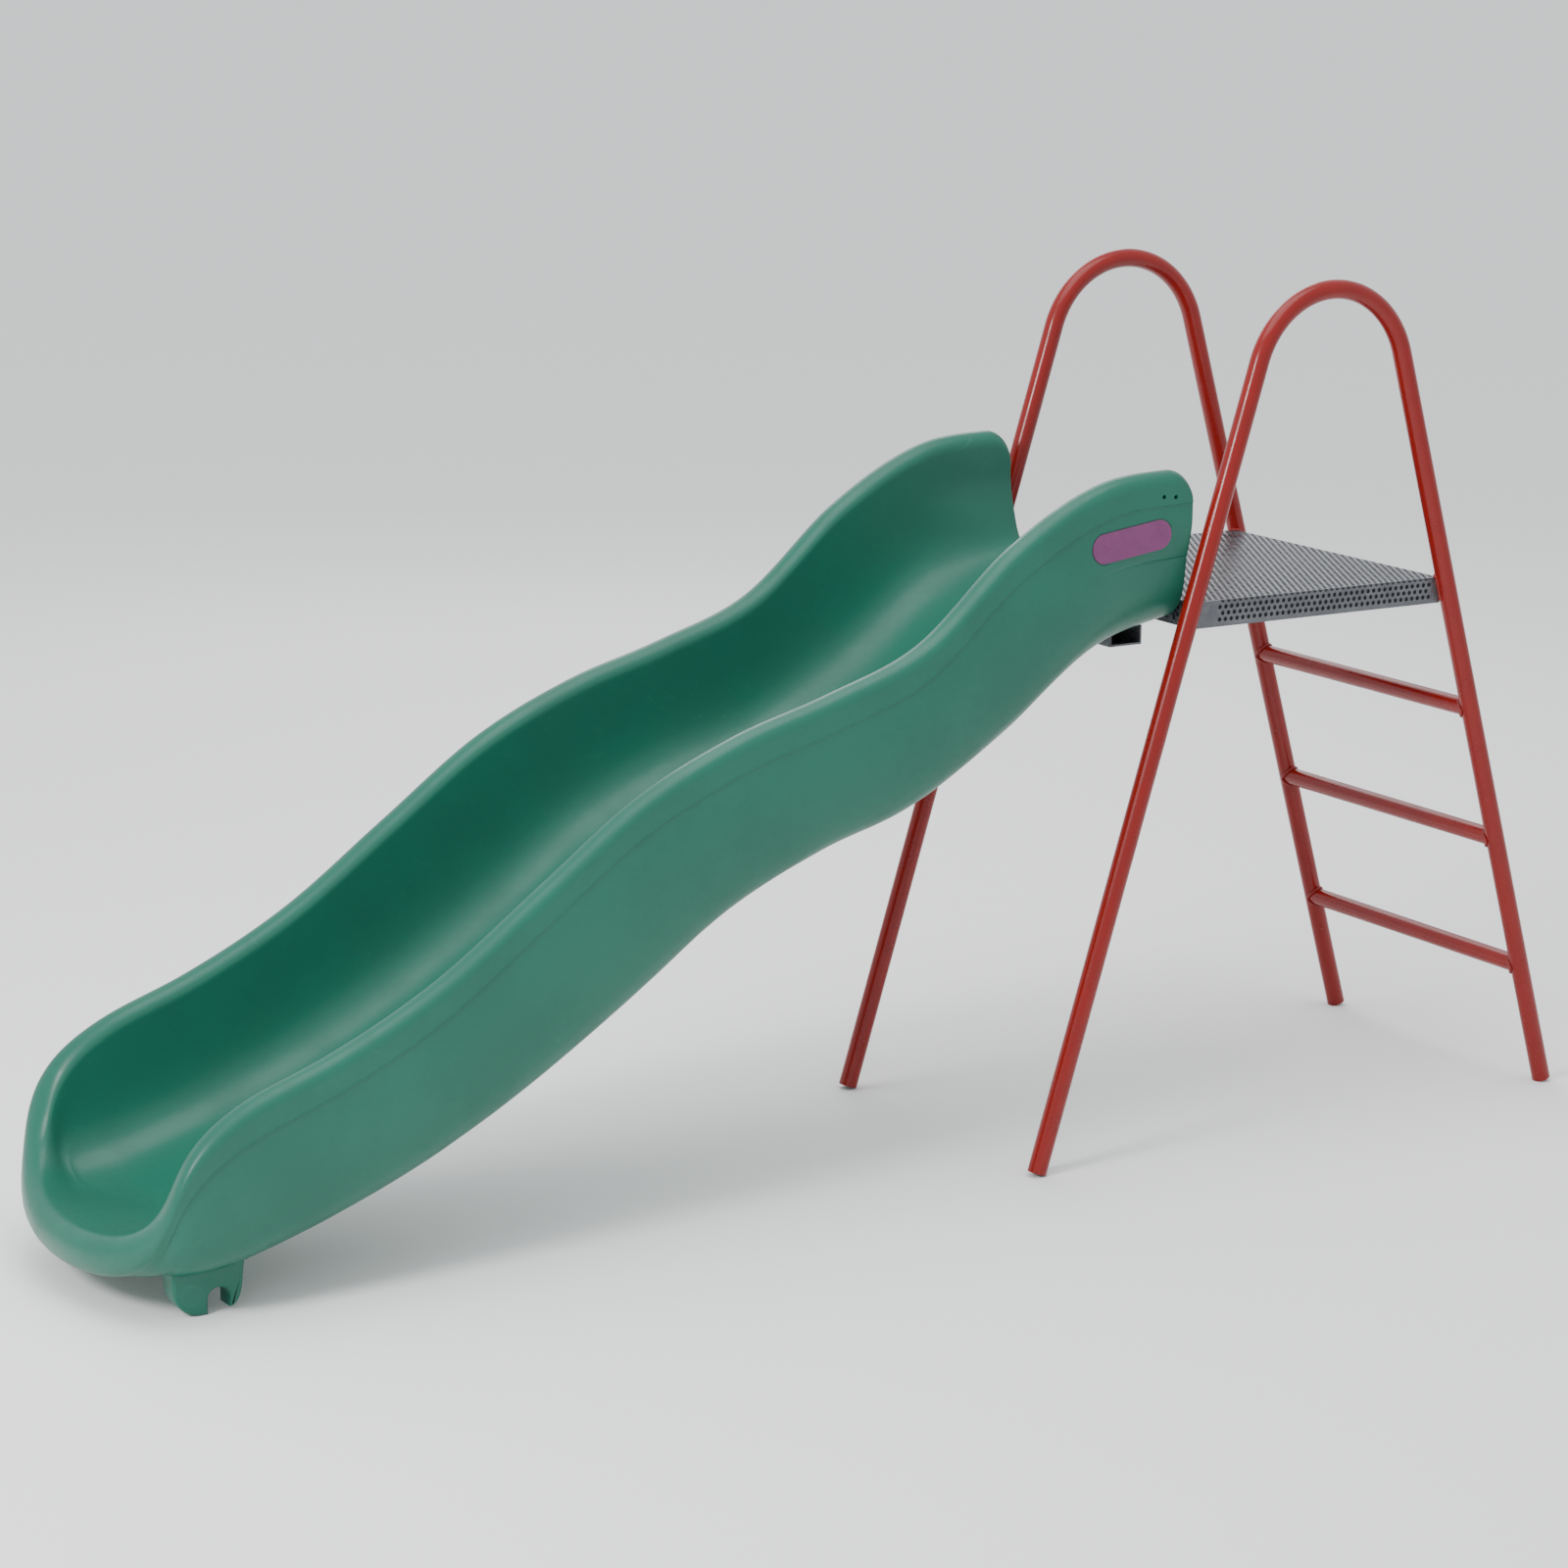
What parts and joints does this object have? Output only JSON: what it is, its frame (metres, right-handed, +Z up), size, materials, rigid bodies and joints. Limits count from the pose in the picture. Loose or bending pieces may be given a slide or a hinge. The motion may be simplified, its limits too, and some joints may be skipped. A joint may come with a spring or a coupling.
{
  "type": "playground slide",
  "caption": "Wave-profile playground slide: hollow moulded chute with rolled rims and a scooped exit lip, hung on a welded tube frame with a standing deck and a rung ladder.",
  "frame": {"origin": "on the ground, under the middle of the overall box", "axes": "+X along the slide from its exit to the ladder, +Y across it to the far side, +Z up"},
  "size_m": [3.2115, 0.7078, 1.702],
  "materials": {
    "slide_plastic": "moulded, satin gloss",
    "frame_paint": "gloss powder coat",
    "deck_paint": "dipped coating, semi-gloss",
    "plate_plastic": "satin",
    "zinc_steel": "zinc plated",
    "brass": "machined"
  },
  "bodies": {
    "root": {"slide_body": "slide_plastic", "near_exit_foot": "slide_plastic", "far_exit_foot": "slide_plastic", "foot_screws": "zinc_steel", "foot_inserts": "brass", "nameplate": "plate_plastic", "plate_rivets": "plate_plastic", "hanger_channel": "deck_paint", "hanger_spacers": "zinc_steel", "hanger_bolts": "zinc_steel", "hanger_washers": "zinc_steel", "hanger_inserts": "brass", "link_bracket": "deck_paint", "link_bolts": "zinc_steel", "link_washers": "zinc_steel", "link_nuts": "zinc_steel", "near_hoop": "frame_paint", "far_hoop": "frame_paint", "rung_bottom": "frame_paint", "rung_middle": "frame_paint", "rung_top": "frame_paint", "rung_welds": "frame_paint", "deck_tray": "deck_paint", "deck_rib": "deck_paint", "deck_welds": "frame_paint"}
  },
  "joints": []
}
